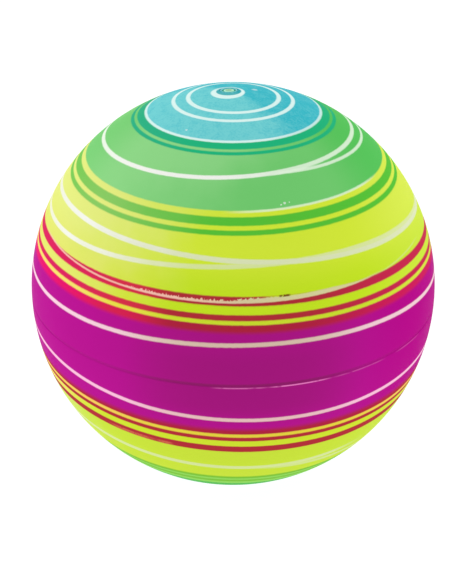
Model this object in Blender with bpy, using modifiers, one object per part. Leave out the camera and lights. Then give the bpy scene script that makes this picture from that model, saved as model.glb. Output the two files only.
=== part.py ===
"""Inflatable vinyl playground ball: a moulded skin, a valve seat held in its wall and a pull-out plug.

Lengths are metres and +Z is up. The origin is the centre of the ball, and the valve lies on +Z.
"""

import math

import bpy

# Ball skin: a hollow moulding with a parting groove round its equator
BALL_DIAMETER = 0.230
WALL = 0.0008
SEAM_WIDTH = 0.0018
SEAM_DEPTH = 0.0004

# Plug: a dished head on a stem with sealing rings
HEAD_DIAMETER = 0.0057
HEAD_THICKNESS = 0.0009
HEAD_RIM = 0.0008
DISH_DEPTH = 0.0003
STEM_LENGTH = 0.0115
RING_COUNT = 3
RING_WIDTH = 0.0012
RING_HEIGHT = 0.0003
TIP_LENGTH = 0.0025
TIP_TAPER = 0.0005

# Valve seat: a grommet whose lip and flange hold the skin between them
BORE_DIAMETER = 0.0038
BORE_LEAD_IN = 0.0004
NECK_WALL = 0.0016
POCKET_GAP = 0.00105
POCKET_FLOOR = 0.0009
LIP_WALL = 0.0008
FLANGE_DIAMETER = 0.0160
FLANGE_THICKNESS = 0.0012
BARREL_LENGTH = 0.0100
BARREL_END_WALL = 0.0010
BARREL_FILLET = 0.0008

# Pad: the thicker skin round the valve
PAD_GRIP = 0.0016
PAD_MARGIN = 0.0050
PAD_BLEND = 0.0070

# Clearance between pieces that touch, and the small break on moulded edges
FIT = 0.0003
EDGE = 0.0002

# Facets
SKIN_STEPS = 60
VALVE_STEPS = 36
OUTER_SEGMENTS = 18
INNER_SEGMENTS = 12
PAD_SEGMENTS = 5
DISH_SEGMENTS = 4
FILLET_SEGMENTS = 3
MERGE_DISTANCE = 0.00001

# Sizes that follow from the ones above
BALL_RADIUS = BALL_DIAMETER / 2
INNER_RADIUS = BALL_RADIUS - WALL
HEAD_RADIUS = HEAD_DIAMETER / 2
BORE_RADIUS = BORE_DIAMETER / 2
NECK_RADIUS = BORE_RADIUS + NECK_WALL
POCKET_RADIUS = HEAD_RADIUS + POCKET_GAP
POCKET_DEPTH = HEAD_THICKNESS + FIT
LIP_RADIUS = POCKET_RADIUS + LIP_WALL
LIP_THICKNESS = POCKET_DEPTH + POCKET_FLOOR
FLANGE_RADIUS = FLANGE_DIAMETER / 2
PAD_RADIUS = FLANGE_RADIUS + PAD_MARGIN

# Radii of the stepped hole in the skin, and the height where it meets the outside
LIP_HOLE_RADIUS = LIP_RADIUS + FIT
NECK_HOLE_RADIUS = NECK_RADIUS + FIT
LIP_HEIGHT = math.sqrt(BALL_RADIUS**2 - LIP_HOLE_RADIUS**2)

# Heights below the lip's top face
LIP_UNDERSIDE = -LIP_THICKNESS
STEP_FLOOR = LIP_UNDERSIDE - FIT
PAD_UNDERSIDE = STEP_FLOOR - PAD_GRIP
FLANGE_TOP = PAD_UNDERSIDE - FIT
FLANGE_UNDERSIDE = FLANGE_TOP - FLANGE_THICKNESS
BARREL_END = FLANGE_UNDERSIDE - BARREL_LENGTH

# Paint: the upper edge of each band in degrees from the equator, and its colour. Both halves are alike.
MAGENTA = (0.46, 0.01, 0.26)
RED = (0.48, 0.03, 0.06)
YELLOW = (0.62, 0.76, 0.04)
LEAF_GREEN = (0.10, 0.50, 0.06)
GREEN = (0.20, 0.60, 0.18)
SEA_GREEN = (0.02, 0.43, 0.18)
WHITE = (0.85, 0.86, 0.82)
TURQUOISE = (0.12, 0.56, 0.64)
PALE_GREEN = (0.45, 0.68, 0.42)
PAINT_BANDS = [
    (14.2, MAGENTA),
    (15.9, RED),
    (17.0, YELLOW),
    (18.6, RED),
    (20.8, YELLOW),
    (23.4, RED),
    (38.3, YELLOW),
    (39.7, LEAF_GREEN),
    (41.0, YELLOW),
    (43.2, LEAF_GREEN),
    (44.8, YELLOW),
    (61.1, GREEN),
    (62.1, SEA_GREEN),
    (62.9, GREEN),
    (65.1, SEA_GREEN),
    (66.4, WHITE),
    (90.0, TURQUOISE),
]
VINYL_ROUGHNESS = 0.38
PLUG_ROUGHNESS = 0.32


def clear_scene():
    """Remove what the scene starts with."""
    for leftover in list(bpy.data.objects):
        bpy.data.objects.remove(leftover)


def principled(name, colour, roughness):
    """A plain moulded plastic and its shader node."""
    material = bpy.data.materials.new(name)
    material.use_nodes = True
    shader = material.node_tree.nodes["Principled BSDF"]
    shader.inputs["Base Color"].default_value = (*colour, 1.0)
    shader.inputs["Roughness"].default_value = roughness
    shader.inputs["Metallic"].default_value = 0.0
    return material, shader


def math_node(tree, operation, source, second=0.0):
    """Add one step of arithmetic after a socket and return its output."""
    node = tree.nodes.new("ShaderNodeMath")
    node.operation = operation
    tree.links.new(source, node.inputs[0])
    node.inputs[1].default_value = second
    return node.outputs[0]


def painted_vinyl():
    """White vinyl with bands of paint that follow the latitude, alike above and below the equator."""
    material, shader = principled("painted_vinyl", WHITE, VINYL_ROUGHNESS)
    tree = material.node_tree
    place = tree.nodes.new("ShaderNodeTexCoord")
    split = tree.nodes.new("ShaderNodeSeparateXYZ")
    tree.links.new(place.outputs["Object"], split.inputs[0])
    height = math_node(tree, "DIVIDE", split.outputs["Z"], BALL_RADIUS)
    latitude = math_node(tree, "ARCSINE", height)
    distance = math_node(tree, "ABSOLUTE", latitude)
    share = math_node(tree, "DIVIDE", distance, math.pi / 2)
    ramp = tree.nodes.new("ShaderNodeValToRGB")
    ramp.color_ramp.interpolation = "CONSTANT"
    stops = ramp.color_ramp.elements
    stops.remove(stops[-1])
    stops[0].color = (*PAINT_BANDS[0][1], 1.0)
    for (lower_edge, _), (_, colour) in zip(PAINT_BANDS, PAINT_BANDS[1:]):
        stop = stops.new(lower_edge / 90.0)
        stop.color = (*colour, 1.0)
    tree.links.new(share, ramp.inputs["Fac"])
    tree.links.new(ramp.outputs["Color"], shader.inputs["Base Color"])
    return material


def arc(radius, start, end, segments):
    """Profile points on a circle about the ball's centre, between two latitudes."""
    points = []
    for i in range(segments + 1):
        latitude = start + (end - start) * i / segments
        points.append((radius * math.cos(latitude), radius * math.sin(latitude)))
    return points


def skin_profile():
    """From the inner bottom pole up the inside, through the valve hole and down the outside."""
    inner_seam = (SEAM_WIDTH / 2 + WALL) / INNER_RADIUS
    outer_seam = SEAM_WIDTH / 2 / BALL_RADIUS
    blend_start = math.acos((PAD_RADIUS + PAD_BLEND) / INNER_RADIUS)
    hole_edge = math.acos(LIP_HOLE_RADIUS / BALL_RADIUS)
    pole = math.pi / 2

    points = arc(INNER_RADIUS, -pole, -inner_seam, INNER_SEGMENTS)
    points.append((INNER_RADIUS - SEAM_DEPTH, 0.0))
    points += arc(INNER_RADIUS, inner_seam, blend_start, INNER_SEGMENTS)
    points += pad_blend(points[-1], (PAD_RADIUS, LIP_HEIGHT + PAD_UNDERSIDE))
    points.append((NECK_HOLE_RADIUS, LIP_HEIGHT + PAD_UNDERSIDE))
    points.append((NECK_HOLE_RADIUS, LIP_HEIGHT + STEP_FLOOR))
    points.append((LIP_HOLE_RADIUS, LIP_HEIGHT + STEP_FLOOR))
    points += arc(BALL_RADIUS, hole_edge, outer_seam, OUTER_SEGMENTS)
    points.append((BALL_RADIUS - SEAM_DEPTH, 0.0))
    points += arc(BALL_RADIUS, -outer_seam, -pole, OUTER_SEGMENTS)
    return on_axis_at_ends(points)


def pad_blend(start, end):
    """A smooth slope from the inside of the wall to the flat underside of the pad, without its start."""
    points = []
    for i in range(1, PAD_SEGMENTS + 1):
        share = i / PAD_SEGMENTS
        eased = share * share * (3 - 2 * share)
        radius = start[0] + (end[0] - start[0]) * share
        height = start[1] + (end[1] - start[1]) * eased
        points.append((radius, height))
    return points


def on_axis_at_ends(points):
    """Put both ends of an open profile exactly on the axis, so that the turned piece closes there."""
    return [(0.0, points[0][1]), *points[1:-1], (0.0, points[-1][1])]


def seat_profile():
    """Round the grommet's section: lip, neck, flange, barrel, bore and pocket. Height 0 is the lip's top."""
    barrel_end_radius = BORE_RADIUS + BARREL_END_WALL
    points = [
        (POCKET_RADIUS, 0.0),
        (LIP_RADIUS - EDGE, 0.0),
        (LIP_RADIUS, -EDGE),
        (LIP_RADIUS, LIP_UNDERSIDE),
        (NECK_RADIUS, LIP_UNDERSIDE),
        (NECK_RADIUS, FLANGE_TOP),
        (FLANGE_RADIUS - EDGE, FLANGE_TOP),
        (FLANGE_RADIUS, FLANGE_TOP - EDGE),
        (FLANGE_RADIUS, FLANGE_UNDERSIDE + EDGE),
        (FLANGE_RADIUS - EDGE, FLANGE_UNDERSIDE),
    ]
    for i in range(FILLET_SEGMENTS + 1):
        turn = math.pi / 2 * i / FILLET_SEGMENTS
        radius = NECK_RADIUS + BARREL_FILLET * (1 - math.sin(turn))
        height = FLANGE_UNDERSIDE - BARREL_FILLET * (1 - math.cos(turn))
        points.append((radius, height))
    points += [
        (barrel_end_radius, BARREL_END + EDGE),
        (barrel_end_radius - EDGE, BARREL_END),
        (BORE_RADIUS, BARREL_END),
        (BORE_RADIUS, -POCKET_DEPTH - BORE_LEAD_IN),
        (BORE_RADIUS + BORE_LEAD_IN, -POCKET_DEPTH),
        (POCKET_RADIUS, -POCKET_DEPTH),
    ]
    return points


def plug_profile():
    """From the middle of the dished head down the head, the ringed stem and the tip. Height 0 is its rim."""
    ring_radius = BORE_RADIUS - FIT
    stem_radius = ring_radius - RING_HEIGHT
    tip_radius = stem_radius - TIP_TAPER
    dish_radius = HEAD_RADIUS - HEAD_RIM
    taper_start = -HEAD_THICKNESS - STEM_LENGTH + TIP_LENGTH
    tip_end = -HEAD_THICKNESS - STEM_LENGTH
    pitch = (STEM_LENGTH - TIP_LENGTH) / RING_COUNT

    points = []
    for i in range(DISH_SEGMENTS + 1):
        share = i / DISH_SEGMENTS
        points.append((dish_radius * share, -DISH_DEPTH * (1 - share * share)))
    points += [
        (HEAD_RADIUS - EDGE, 0.0),
        (HEAD_RADIUS, -EDGE),
        (HEAD_RADIUS, EDGE - HEAD_THICKNESS),
        (HEAD_RADIUS - EDGE, -HEAD_THICKNESS),
        (stem_radius, -HEAD_THICKNESS),
    ]
    for i in range(RING_COUNT):
        middle = -HEAD_THICKNESS - pitch * (i + 0.5)
        points += [
            (stem_radius, middle + RING_WIDTH / 2),
            (ring_radius, middle + RING_WIDTH / 4),
            (ring_radius, middle - RING_WIDTH / 4),
            (stem_radius, middle - RING_WIDTH / 2),
        ]
    points += [
        (stem_radius, taper_start),
        (tip_radius, tip_end + EDGE),
        (tip_radius - EDGE, tip_end),
        (0.0, tip_end),
    ]
    return points


def turned(name, profile, closed, steps, material, parent):
    """One piece turned about the Z axis of its parent from a profile of radius and height."""
    mesh = bpy.data.meshes.new(name)
    points = [(radius, 0.0, height) for radius, height in profile]
    edges = [(i, i + 1) for i in range(len(points) - 1)]
    if closed:
        edges.append((len(points) - 1, 0))
    mesh.from_pydata(points, edges, [])
    mesh.materials.append(material)
    piece = bpy.data.objects.new(name, mesh)
    piece.parent = parent
    screw = piece.modifiers.new("Turn", "SCREW")
    screw.axis = "Z"
    screw.angle = math.tau
    screw.steps = steps
    screw.render_steps = steps
    screw.use_merge_vertices = True
    screw.merge_threshold = MERGE_DISTANCE
    screw.use_smooth_shade = True
    normals = piece.modifiers.new("Even shading", "WEIGHTED_NORMAL")
    normals.keep_sharp = True
    return piece


def empty(name, height, parent):
    """A point on the ball's axis that pieces hang from."""
    point = bpy.data.objects.new(name, None)
    point.location = (0.0, 0.0, height)
    point.parent = parent
    return point


def build():
    """Make the skin at the ball's centre, and the seat and the plug on the valve's axis at the lip's top."""
    clear_scene()
    turquoise, _ = principled("painted_seat", TURQUOISE, VINYL_ROUGHNESS)
    pale_green, _ = principled("plug_plastic", PALE_GREEN, PLUG_ROUGHNESS)
    centre = empty("ball_centre", 0.0, None)
    valve = empty("valve_axis", LIP_HEIGHT, centre)
    objects = [
        centre,
        valve,
        turned("ball_skin", skin_profile(), False, SKIN_STEPS, painted_vinyl(), centre),
        turned("valve_seat", seat_profile(), True, VALVE_STEPS, turquoise, valve),
        turned("valve_plug", plug_profile(), False, VALVE_STEPS, pale_green, valve),
    ]
    collection = bpy.data.collections.new("playground_ball")
    bpy.context.scene.collection.children.link(collection)
    for item in objects:
        collection.objects.link(item)


build()
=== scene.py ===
"""Vinyl play ball with sprayed rainbow bands: its painted skin, its valve and a plain studio.

Lengths are metres and +Z is up. The origin is the centre of the ball, and the valve lies on +Z.
Longitude 0 faces -Y, where the camera stands, and grows towards +X.
"""

import math
from collections import namedtuple

import bmesh
import bpy
from bpy.props import FloatProperty, FloatVectorProperty, PointerProperty
from bpy.types import Operator, Panel, PropertyGroup
from mathutils import Matrix, Quaternion, Vector


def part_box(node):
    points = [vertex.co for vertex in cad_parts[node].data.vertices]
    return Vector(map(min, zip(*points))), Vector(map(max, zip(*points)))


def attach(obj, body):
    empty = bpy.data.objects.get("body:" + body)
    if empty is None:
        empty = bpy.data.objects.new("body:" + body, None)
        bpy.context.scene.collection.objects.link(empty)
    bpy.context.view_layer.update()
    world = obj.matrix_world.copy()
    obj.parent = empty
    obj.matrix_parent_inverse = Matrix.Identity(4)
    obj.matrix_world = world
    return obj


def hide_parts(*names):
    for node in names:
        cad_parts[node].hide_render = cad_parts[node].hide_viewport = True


bl_info = {
    "name": "Painted Play Ball",
    "version": (1, 0, 0),
    "blender": (4, 5, 0),
    "location": "3D View > Sidebar > Play Ball",
    "description": "Makes a vinyl play ball with sprayed bands, its valve and a plain studio",
    "category": "Object",
}

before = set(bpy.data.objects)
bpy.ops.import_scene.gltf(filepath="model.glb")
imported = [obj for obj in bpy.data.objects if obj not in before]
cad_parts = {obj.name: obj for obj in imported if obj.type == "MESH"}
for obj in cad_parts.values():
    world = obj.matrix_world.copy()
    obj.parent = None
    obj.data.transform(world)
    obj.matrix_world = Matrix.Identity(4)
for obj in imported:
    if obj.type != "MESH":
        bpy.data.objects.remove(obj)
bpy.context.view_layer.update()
SEAT_LOW, SEAT_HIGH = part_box("valve_seat")
PLUG_LOW, PLUG_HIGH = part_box("valve_plug")

BALL_RADIUS = -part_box("ball_skin")[0].z
LIP_HEIGHT = SEAT_HIGH.z
COLLECTION = "play_ball"

UP = Vector((0.0, 0.0, 1.0))
LEVEL = (1.0, 1.0, 0.0)

# Facets of the turned pieces
SKIN_STEPS = 224
VALVE_STEPS = 96
OUTER_ROWS = 72
GROOVE_ROWS = 14
INNER_ROWS = 28
ROUND_ROWS = 5
MERGE_DISTANCE = 0.000001
SHARP_EDGE = math.radians(40)

# Share of the paint map's height that the inside of the skin takes, and how much of that it fills
INSIDE_STRIP = 0.1
INSIDE_FILL = 0.95

# Latitudes between which the seam's lean dies out towards the valve
LEAN_WHOLE = 25
LEAN_GONE = 65

# A circle round the ball that leans: tilt is how many degrees it rises on the side of the longitude toward
Lean = namedtuple("Lean", "tilt toward")
WAIST_LEAN = Lean(0.38, 178)
RED_LEAN = Lean(0.1, 200)
SHOULDER_LEAN = Lean(0.9, 118)
CAP_LEAN = Lean(1.07, 98)
FOOT_LEAN = Lean(2.6, 210)
CRIMSON_LEAN = Lean(1.95, 210)

# A sprayed edge: its lean, its middle latitude, half of its soft width, and the paint that starts beyond it
Edge = namedtuple("Edge", "lean latitude blur paint")
CRISP = 0.25
SOFT = 0.75
SOFTER = 1.1
SOFTEST = 6.0
RED_TOP = 23.25
UPPER_EDGES = (
    Edge(WAIST_LEAN, 14.35, SOFT, "crimson"),
    Edge(WAIST_LEAN, 16.41, CRISP, "warm_yellow"),
    Edge(WAIST_LEAN, 17.45, CRISP, "red"),
    Edge(WAIST_LEAN, 18.95, CRISP, "yellow"),
    Edge(WAIST_LEAN, 21.12, CRISP, "red"),
    Edge(RED_LEAN, RED_TOP, CRISP, "yellow"),
    Edge(WAIST_LEAN, 28.8, SOFTEST, "lime"),
    Edge(SHOULDER_LEAN, 38.7, CRISP, "leaf_green"),
    Edge(SHOULDER_LEAN, 40.03, CRISP, "lime"),
    Edge(SHOULDER_LEAN, 41.2, CRISP, "leaf_green"),
    Edge(SHOULDER_LEAN, 43.5, CRISP, "lime"),
    Edge(SHOULDER_LEAN, 45.15, CRISP, "green"),
    Edge(CAP_LEAN, 61.05, CRISP, "sea_green"),
    Edge(CAP_LEAN, 62.15, CRISP, "green"),
    Edge(CAP_LEAN, 63.0, CRISP, "sea_green"),
    Edge(CAP_LEAN, 65.65, CRISP, "turquoise"),
)
LOWER_EDGES = (
    Edge(CRIMSON_LEAN, -12.7, SOFTER, "crimson"),
    Edge(FOOT_LEAN, -14.0, CRISP, "amber"),
    Edge(FOOT_LEAN, -15.2, CRISP, "red"),
    Edge(FOOT_LEAN, -16.7, CRISP, "warm_yellow"),
    Edge(FOOT_LEAN, -18.9, CRISP, "red"),
    Edge(FOOT_LEAN, -21.4, CRISP, "low_lime"),
    Edge(FOOT_LEAN, -37.0, SOFT, "low_leaf"),
    Edge(FOOT_LEAN, -38.9, SOFT, "pale_green"),
    Edge(FOOT_LEAN, -40.4, SOFT, "low_leaf"),
    Edge(FOOT_LEAN, -42.5, SOFT, "pale_green"),
    Edge(FOOT_LEAN, -45.3, SOFT, "low_green"),
    Edge(FOOT_LEAN, -60.9, CRISP, "sea_green"),
    Edge(FOOT_LEAN, -62.0, CRISP, "low_green"),
    Edge(FOOT_LEAN, -62.85, CRISP, "sea_green"),
    Edge(FOOT_LEAN, -65.6, CRISP, "turquoise"),
)

# A bend of a line out of its plane: it rises at the longitude toward and opposite it, and falls between
Bend = namedtuple("Bend", "rise toward")
FLAT = Bend(0.0, 0)

# A stretch of longitude: its middle, how far it reaches either way, and how softly it ends
Span = namedtuple("Span", "middle reach soft", defaults=(9.0,))
ALL_ROUND = None

# A line that elastic left nearly bare: its middle, lean, width, bareness and colour, and any bend and span
Line = namedtuple("Line", "latitude lean width bare tint bend span", defaults=(FLAT, ALL_ROUND))
BARE_LINES = (
    Line(77.72, Lean(1.09, 100), 1.2, 0.97, "cap_line"),
    Line(73.67, Lean(1.16, 87), 1.1, 0.97, "cap_line"),
    Line(65.67, Lean(1.1, 98), 0.8, 0.78, "cap_line"),
    Line(53.88, Lean(3.02, 86), 1.2, 0.85, "green_line"),
    Line(53.4, Lean(1.45, 6), 0.85, 0.82, "green_line", FLAT, Span(75, 58)),
    Line(53.5, Lean(1.8, 60), 1.0, 0.97, "green_line", FLAT, Span(25, 9)),
    Line(44.45, Lean(1.35, 90), 0.6, 0.72, "green_line", FLAT, Span(32, 28)),
    Line(30.48, Lean(2.87, -46), 1.3, 0.64, "lime_line", Bend(0.6, -83)),
    Line(29.15, Lean(1.33, 56), 1.2, 0.44, "lime_line", Bend(1.1, 26)),
    Line(23.9, Lean(4.3, 147), 0.36, 0.22, "lime_line", FLAT, Span(57, 6)),
    Line(10.1, Lean(0.49, -91), 1.1, 0.68, "waist_line", Bend(1.2, 26)),
    Line(-8.65, Lean(1.96, -121), 1.15, 0.86, "foot_line", Bend(1.4, 87)),
    Line(-30.0, Lean(1.1, -128), 1.8, 0.4, "lime_line", Bend(1.6, -80), Span(-100, 142)),
    Line(-34.4, Lean(4.0, -60), 1.7, 0.32, "lime_line", FLAT, Span(34, 19)),
    Line(-53.7, Lean(2.4, 200), 1.2, 0.9, "green_line"),
    Line(-65.6, Lean(2.2, 215), 1.0, 0.93, "green_line"),
    Line(-73.8, Lean(1.6, 140), 1.1, 0.97, "cap_line"),
    Line(-77.8, Lean(1.2, 230), 1.2, 0.97, "cap_line"),
)

# Half of a line's soft edge, and how much barer a line gets where the paint beside it is thin and out of
# painted shade
LINE_BLUR = 0.22
THIN_BARER = 0.92

# Latitudes where the waist and the green bands begin, and the mark of paint that is as thick all round
WAIST_REACH = 12
SHOULDER = 44
EVEN = None

# Cloudy noise: how fine it is, how many finer layers it has, and how far it moves a value either way
Noise = namedtuple("Noise", "scale detail amount", defaults=(0.0,))
EDGE_DRIFT = Noise(22.0, 1.0, 0.12)
EDGE_FUZZ = Noise(420.0, 2.0, 0.07)
PAINT_GRAIN = Noise(900.0, 4.0, 0.6)
PAINT_CLOUDS = Noise(45.0, 3.0, 0.3)
CAP_BLOTCHES = Noise(240.0, 3.0, 0.5)

# A soft step in a value: where it starts, where it is whole, and its share there
Fade = namedtuple("Fade", "start whole share", defaults=(1.0,))

# Borders between thick paint at the right and thin paint at the left, which turn with the latitude
Side = namedtuple("Side", "skew pivot most")
LOW_SIDE = Side(0.4, 98.5, 0)
LOW_THIN = Fade(-0.35, 0.55)
HIGH_SIDE = Side(2.0, 43.0, 42)
HIGH_THIN = Fade(-0.15, 0.45)

# At the far left limb the greens and the lines are darker, as painted shade
LIMB_SHADE = Fade(-1.25, -0.78)

# The waist's paint: painted shade at the front, where it is darkest as if thickest, less so at its top and
# foot, and painted shade at the far right limb too
FRONT_SHADE = Span(4, 18, 18.0)
WAIST_TOP = Fade(5.0, 12.0, 0.42)
WAIST_FOOT = Fade(-15.0, -6.0)
FAR_RIGHT_SHADE = Fade(0.5, 0.9)

# Share of thin paint at the waist's right side, which grows to all of it at the left
WAIST_LEAST = 0.8

# Where other paints lie thin, by how far they face left or right. The reds are lighter at the right as
# painted light, with their front in painted shade; the yellows are paler towards the right limb
REDS = ("red", "crimson")
RED_LEFT = Fade(-0.1, 0.55)
RED_RIGHT_LIGHT = Fade(0.25, 0.85, 0.5)
YELLOWS = ("yellow", "warm_yellow", "lime", "low_lime")
YELLOW_RIGHT = Fade(0.6, 1.0, 0.22)
AMBER_FRONT = Span(7, 34, 16.0)
LOW_GREENS = ("low_leaf", "pale_green", "low_green")
GREEN_LEFT = Fade(0.0, 0.95, 0.58)
GREEN_MIDDLE = Fade(0.98, 0.6, 0.42)
SEA_GREEN_LEFT = Fade(0.05, 0.65)
CAP_LEFT = 0.76
CAP_EVEN = 0.12

# Where the reds and yellows above the foot are warmer, left of the front
WARM = Span(-38, 13, 10.0)
ABOVE_FOOT = Fade(-14.0, 8.0)

# The torn line in the upper red band, by its lower edge
TORN_LINE = Line(24.95, Lean(3.4, 168), 0.4, 0.95, "torn", Bend(0.16, 92), Span(-14, 56, 7.0))
TORN_TINT = Fade(-0.35, 0.15)

# Left of the front it is ragged, with upright teeth
TORN_RAGGED = Span(-9, 18, 6.0)
RAGGED_WIDER = 0.15
TEETH = Noise(1150.0, 3.0)
TEETH_STRETCH = (1.0, 1.0, 0.3)
TEETH_GAPS = Fade(0.46, 0.66)
TEETH_HEIGHT = 0.48

# Right of the front it is widest, and no red is left above it
TORN_FRONT = Span(18, 11.5, 8.5)
FRONT_WIDER = 0.7
TORN_OPEN = Span(60, 50, 3.0)
TORN_GONE = Fade(0.0, 0.3)

# Dried crumbs of red that stayed at its upper edge
CRUMBS = Span(14.1, 1.4, 0.5)
CRUMBS_ABOVE = 1.28
CRUMBS_EDGE = Fade(0.44, 0.1)
CRUMBS_BARE = 0.95
CRUMBS_NOISE = Noise(900.0, 2.0)
CRUMBS_GAPS = Fade(0.3, 0.44)

# Where the lower half of the lowest red band is rubbed thin
RUBBED = (Span(-29, 5, 4.0), Span(-18.6, 1.6, 1.28))
RUBBED_LATITUDE = -20.75
RUBBED_EDGE = Fade(0.8, 0.3)
RUBBED_GRAIN = Fade(0.25, 0.5)
RUBBED_SHARE = 0.75

# Painted shade in the seam's groove: a darker line that stands for its shadow, most of it at the front
GROOVE_SHADE_LEVEL = 0.2
GROOVE_SHADE_EDGE = Fade(0.7, 0.1)
GROOVE_SHADE_LEFT = Fade(-0.7, -0.1)
GROOVE_SHADE_RIGHT = Fade(0.75, 0.3)
GROOVE_SHADE_LEAST = 0.13
GROOVE_SHADE_FRONT = 0.32

# Where the seam's lower edge is rubbed pale, and how bare it is there
Rub = namedtuple("Rub", "span bare")
SEAM_RUBS = (
    Rub(Span(2.4, 5.0, 3.0), 0.64),
    Rub(Span(18.0, 6.4, 3.0), 1.0),
    Rub(Span(35.6, 6.6, 3.0), 0.33),
    Rub(Span(55.2, 4.2, 3.0), 0.3),
)
RUB_LEVEL = -0.5
RUB_EDGE = Fade(0.26, 0.08)
RUB_NOISE = Noise(160.0, 5.0)
RUB_GAPS = Fade(0.28, 0.5)

# The bare crescent lies between two rounds: metres right and front of the valve, and half of each width
Round = namedtuple("Round", "right front across along")
CRESCENT_OUTSIDE = Round(-0.0006, 0.0038, 0.0092, 0.0100)
# The inside round also holds the painted shade round the valve
CRESCENT_INSIDE = Round(-0.0001, 0.0023, 0.0068, 0.0069)
CRESCENT_BLUR = 0.06
CRESCENT_BACK = Fade(0.002, -0.006, 0.45)
UPPER_HALF = Fade(0.0, 0.01)
VALVE_SHADE_SHARE = 0.55

# Specks where the paint chipped: latitude, longitude and radius in degrees, and how bare they are
Speck = namedtuple("Speck", "latitude longitude radius bare")
SPECKS = (
    Speck(46.3, 18.3, 0.42, 0.6),
    Speck(45.9, 16.8, 0.3, 0.6),
    Speck(46.4, 20.1, 0.26, 0.6),
    Speck(84.1, 128.0, 1.1, 0.42),
    Speck(67.4, -36.1, 0.4, 0.6),
)
CHIP_NOISE = Noise(1500.0, 2.0, 0.3)
CHIP_CORE = 0.4

# The finish of a moulding: its shine, its roughness, its grain and the grain's height in metres
Finish = namedtuple("Finish", "specular roughness grain height")
SKIN_FINISH = Finish(0.004, 0.48, Noise(1600.0, 3.0), 0.00005)
SEAT_FINISH = Finish(0.4, 0.4, Noise(2600.0, 3.0), 0.00003)
PLUG_FINISH = Finish(0.5, 0.34, Noise(3000.0, 3.0), 0.00002)
GRAIN_STRENGTH = 0.35
SKIN_SHINE = Noise(60.0, 3.0, 0.08)

# How far into the skin's wall the paint on its edges reaches, as a share of the wall
PAINT_DEPTH = 0.6

# The seat below its lip: paint that ran into the pocket, painted lighter against the pocket's shade, and
# where it ends under the pocket's floor
SEAT_CLOUDS = Noise(500.0, 3.0, 0.1)
SEAT_CLOUDY = Fade(0.35, 0.65)
POCKET_LIT_PAINT = Fade(0.0003, 0.0009)
PAINT_END = Fade(0.0004, 0.0016)

# The plug's head: cloudy plastic, and where its lighter rim starts; the rim has less overspray, and its
# lightness is partly a painted highlight
PLUG_CLOUDS = Noise(700.0, 3.0, 0.08)
RIM_HIGHLIGHT_START = 0.0012
RIM_WANDER = 0.0004

# Sockets of a node that mixes colours
MIX_UNDER = 6
MIX_OVER = 7
MIX_RESULT = 2

# The studio
FLOOR_HALF = 6.0
FLOOR_CLOUDS = Noise(3.0, 2.0)
FLOOR_SHADES = ((0.15, 0.15, 0.15), (0.17, 0.17, 0.17))
FLOOR_ROUGHNESS = 0.8
FLOOR_SPECULAR = 0.1
WHITE = (1.0, 1.0, 1.0, 1.0)
CAMERA_SIDE = Fade(0.2, 0.9)
LAMP_SIZE = 0.9
LEFT_LAMP = (-1.0, -0.35, 0.55)
RIGHT_LAMP = (1.0, -0.35, 0.55)


def seen(red, green, blue):
    """A colour as it is seen on a screen, 0 to 255, turned into linear light."""
    shares = (red / 255, green / 255, blue / 255)
    return tuple(s / 12.92 if s <= 0.04045 else ((s + 0.055) / 1.055) ** 2.4 for s in shares)


def length(name, description, default):
    """A length that a user may change."""
    return FloatProperty(name=name, description=description, default=default, unit="LENGTH", precision=4)


def angle(name, description, degrees):
    """An angle that a user may change."""
    return FloatProperty(name=name, description=description, default=math.radians(degrees), subtype="ANGLE")


def amount(name, description, default, unit="NONE"):
    """A plain amount that a user may change."""
    return FloatProperty(name=name, description=description, default=default, unit=unit)


def colour(name, description, red, green, blue):
    """A colour that a user may change, given as it is seen on a screen, 0 to 255."""
    return FloatVectorProperty(
        name=name,
        description=description,
        default=seen(red, green, blue),
        subtype="COLOR",
        min=0.0,
        max=1.0,
    )


class SkinSizes(PropertyGroup):
    """Sizes of the moulded skin and the lean of its paint and seam from the valve's axis."""

    radius: length("Radius", "From the middle of the ball to its outside", BALL_RADIUS)
    wall: length("Wall", "Thickness of the vinyl", 0.0008)
    groove_width: length("Groove width", "Width of the parting groove round the waist", 0.0018)
    groove_depth: length("Groove depth", "Depth of the parting groove", 0.0003)
    hole_edge: length("Hole edge", "Rounding of the edge of the valve's hole", 0.0002)
    seam_right: angle("Seam to the right", "How far the seam's axis leans to +X", 1.7)
    seam_front: angle("Seam to the front", "How far the seam's axis leans to -Y", 2.9)
    paint_right: angle("Paint to the right", "How far the paint's axis leans to +X", 2.28)
    paint_front: angle("Paint to the front", "How far the paint's axis leans to -Y", 2.42)
    paint_turn: angle("Paint turn", "How far the paint is turned about its axis", 1.13)


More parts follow.
